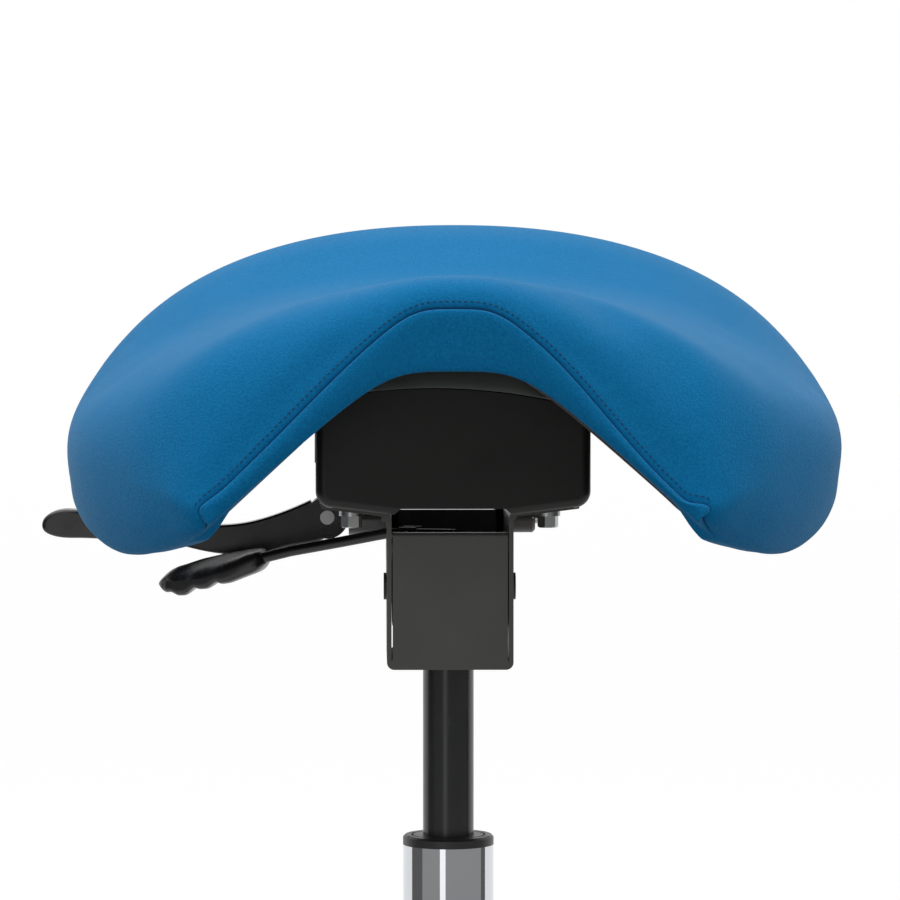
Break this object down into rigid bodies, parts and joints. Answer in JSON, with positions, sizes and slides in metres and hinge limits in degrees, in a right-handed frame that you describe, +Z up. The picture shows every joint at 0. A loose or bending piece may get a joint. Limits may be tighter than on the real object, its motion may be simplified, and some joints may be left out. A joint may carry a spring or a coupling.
{
  "type": "saddle stool",
  "caption": "Height-adjustable stool with a tilting saddle seat in soft fabric, a gas-lift column with two levers, and a five-star base on twin-wheel castors.",
  "frame": {"origin": "on the floor, on the axis of the column", "axes": "+Z up along the column; -Y towards the front of the seat, where its pommel is; the two levers are at -X"},
  "size_m": [0.5258, 0.5118, 0.6767],
  "materials": {
    "seat_fabric": "fleecy knit",
    "shell_plastic": "moulded",
    "cover_plastic": "fine grain satin",
    "bracket_paint": "satin black powder coat",
    "carrier_paint": "satin black powder coat",
    "zinc": "zinc plated",
    "steel": "bright steel",
    "lever_steel": "black",
    "grip_plastic": "moulded satin",
    "lever_plastic": "moulded satin",
    "rod_black": "satin black",
    "chrome": "polished",
    "bush_plastic": "moulded",
    "nut_plastic": "moulded",
    "rubber": "moulded",
    "base_metal": "polished die casting",
    "castor_plastic": "moulded",
    "castor_tread": "moulded"
  },
  "bodies": {
    "base": {"star_base": "base_metal", "stand_tube": "chrome", "guide_bush": "bush_plastic", "lower_race": "steel", "rubber_bumper": "rubber", "castor_sleeves": "steel"},
    "column_rod": {"piston_rod": "steel", "piston_head": "bush_plastic", "bearing_balls": "steel", "upper_race": "steel", "retaining_clip": "steel"},
    "lift": {"gas_cylinder": "rod_black", "cylinder_guide": "bush_plastic", "taper_socket": "carrier_paint", "tilt_carrier": "carrier_paint", "pivot_axle": "carrier_paint", "carrier_bushes": "bush_plastic", "lever_pivot_pin": "steel"},
    "valve": {"valve_pin": "steel"},
    "height_lever": {"height_lever_rod": "lever_steel", "height_lever_grip": "grip_plastic"},
    "seat": {"seat_bracket": "bracket_paint", "support_housing": "cover_plastic", "seat_shell": "shell_plastic", "seat_cushion": "seat_fabric", "seat_bolts": "zinc", "bolt_washers": "zinc", "threaded_inserts": "steel", "tie_rod": "steel", "disc_springs": "steel", "tie_nut": "nut_plastic", "cam_spacer": "lever_plastic", "cam_pin": "steel"},
    "tilt_lever": {"tilt_lever_arm": "lever_plastic", "tilt_lever_grip": "lever_plastic"},
    "castor_1": {"castor_1_housing": "castor_plastic", "castor_1_stem": "steel", "castor_1_axle": "steel"},
    "castor_1_left": {"castor_1_wheel_left": "castor_tread"},
    "castor_1_right": {"castor_1_wheel_right": "castor_tread"},
    "castor_2": {"castor_2_housing": "castor_plastic", "castor_2_stem": "steel", "castor_2_axle": "steel"},
    "castor_2_left": {"castor_2_wheel_left": "castor_tread"},
    "castor_2_right": {"castor_2_wheel_right": "castor_tread"},
    "castor_3": {"castor_3_housing": "castor_plastic", "castor_3_stem": "steel", "castor_3_axle": "steel"},
    "castor_3_left": {"castor_3_wheel_left": "castor_tread"},
    "castor_3_right": {"castor_3_wheel_right": "castor_tread"},
    "castor_4": {"castor_4_housing": "castor_plastic", "castor_4_stem": "steel", "castor_4_axle": "steel"},
    "castor_4_left": {"castor_4_wheel_left": "castor_tread"},
    "castor_4_right": {"castor_4_wheel_right": "castor_tread"},
    "castor_5": {"castor_5_housing": "castor_plastic", "castor_5_stem": "steel", "castor_5_axle": "steel"},
    "castor_5_left": {"castor_5_wheel_left": "castor_tread"},
    "castor_5_right": {"castor_5_wheel_right": "castor_tread"}
  },
  "joints": [
    {"name": "column_swivel", "type": "hinge", "parent": "base", "child": "column_rod", "pos_m": [0, 0, 0.08], "axis": [0, 0, 1], "continuous": true},
    {"name": "height_slide", "type": "slide", "parent": "column_rod", "child": "lift", "axis": [0, 0, 1], "range_m": [-0.085, 0.11]},
    {"name": "seat_tilt", "type": "hinge", "parent": "lift", "child": "seat", "pos_m": [0, -0.04, 0.482], "axis": [1, 0, 0], "range_deg": [-6, 10]},
    {"name": "tilt_lever_swing", "type": "hinge", "parent": "seat", "child": "tilt_lever", "pos_m": [-0.0672, 0.078, 0.513], "axis": [0, -1, 0], "range_deg": [0, 50]},
    {"name": "height_lever_lift", "type": "hinge", "parent": "lift", "child": "height_lever", "pos_m": [-0.02115, 0.00606, 0.5075], "axis": [0.2756, 0.9613, 0], "range_deg": [0, 6], "stiffness_Nm_per_rad": 2, "springref_deg": -5.73},
    {"name": "valve_press", "type": "slide", "parent": "lift", "child": "valve", "axis": [0, 0, -1], "range_m": [0, 0.0026]},
    {"name": "castor_1_swivel", "type": "hinge", "parent": "base", "child": "castor_1", "pos_m": [0, 0.245, 0.05], "axis": [0, 0, 1], "continuous": true},
    {"name": "castor_1_left_roll", "type": "hinge", "parent": "castor_1", "child": "castor_1_left", "pos_m": [0.02, 0.245, 0.025], "axis": [0, -1, 0], "continuous": true},
    {"name": "castor_1_right_roll", "type": "hinge", "parent": "castor_1", "child": "castor_1_right", "pos_m": [0.02, 0.245, 0.025], "axis": [0, -1, 0], "continuous": true},
    {"name": "castor_2_swivel", "type": "hinge", "parent": "base", "child": "castor_2", "pos_m": [-0.23301, 0.07571, 0.05], "axis": [0, 0, 1], "continuous": true},
    {"name": "castor_2_left_roll", "type": "hinge", "parent": "castor_2", "child": "castor_2_left", "pos_m": [-0.22683, 0.09473, 0.025], "axis": [0.9511, -0.309, 0], "continuous": true},
    {"name": "castor_2_right_roll", "type": "hinge", "parent": "castor_2", "child": "castor_2_right", "pos_m": [-0.22683, 0.09473, 0.025], "axis": [0.9511, -0.309, 0], "continuous": true},
    {"name": "castor_3_swivel", "type": "hinge", "parent": "base", "child": "castor_3", "pos_m": [-0.14401, -0.19821, 0.05], "axis": [0, 0, 1], "continuous": true},
    {"name": "castor_3_left_roll", "type": "hinge", "parent": "castor_3", "child": "castor_3_left", "pos_m": [-0.16019, -0.18645, 0.025], "axis": [0.5878, 0.809, 0], "continuous": true},
    {"name": "castor_3_right_roll", "type": "hinge", "parent": "castor_3", "child": "castor_3_right", "pos_m": [-0.16019, -0.18645, 0.025], "axis": [0.5878, 0.809, 0], "continuous": true},
    {"name": "castor_4_swivel", "type": "hinge", "parent": "base", "child": "castor_4", "pos_m": [0.14401, -0.19821, 0.05], "axis": [0, 0, 1], "continuous": true},
    {"name": "castor_4_left_roll", "type": "hinge", "parent": "castor_4", "child": "castor_4_left", "pos_m": [0.12783, -0.20997, 0.025], "axis": [-0.5878, 0.809, 0], "continuous": true},
    {"name": "castor_4_right_roll", "type": "hinge", "parent": "castor_4", "child": "castor_4_right", "pos_m": [0.12783, -0.20997, 0.025], "axis": [-0.5878, 0.809, 0], "continuous": true},
    {"name": "castor_5_swivel", "type": "hinge", "parent": "base", "child": "castor_5", "pos_m": [0.23301, 0.07571, 0.05], "axis": [0, 0, 1], "continuous": true},
    {"name": "castor_5_left_roll", "type": "hinge", "parent": "castor_5", "child": "castor_5_left", "pos_m": [0.23919, 0.05669, 0.025], "axis": [-0.9511, -0.309, 0], "continuous": true},
    {"name": "castor_5_right_roll", "type": "hinge", "parent": "castor_5", "child": "castor_5_right", "pos_m": [0.23919, 0.05669, 0.025], "axis": [-0.9511, -0.309, 0], "continuous": true}
  ],
  "couplings": [
    {"joint": "valve_press", "follows": "height_lever_lift", "m_per_rad": 0.024}
  ]
}
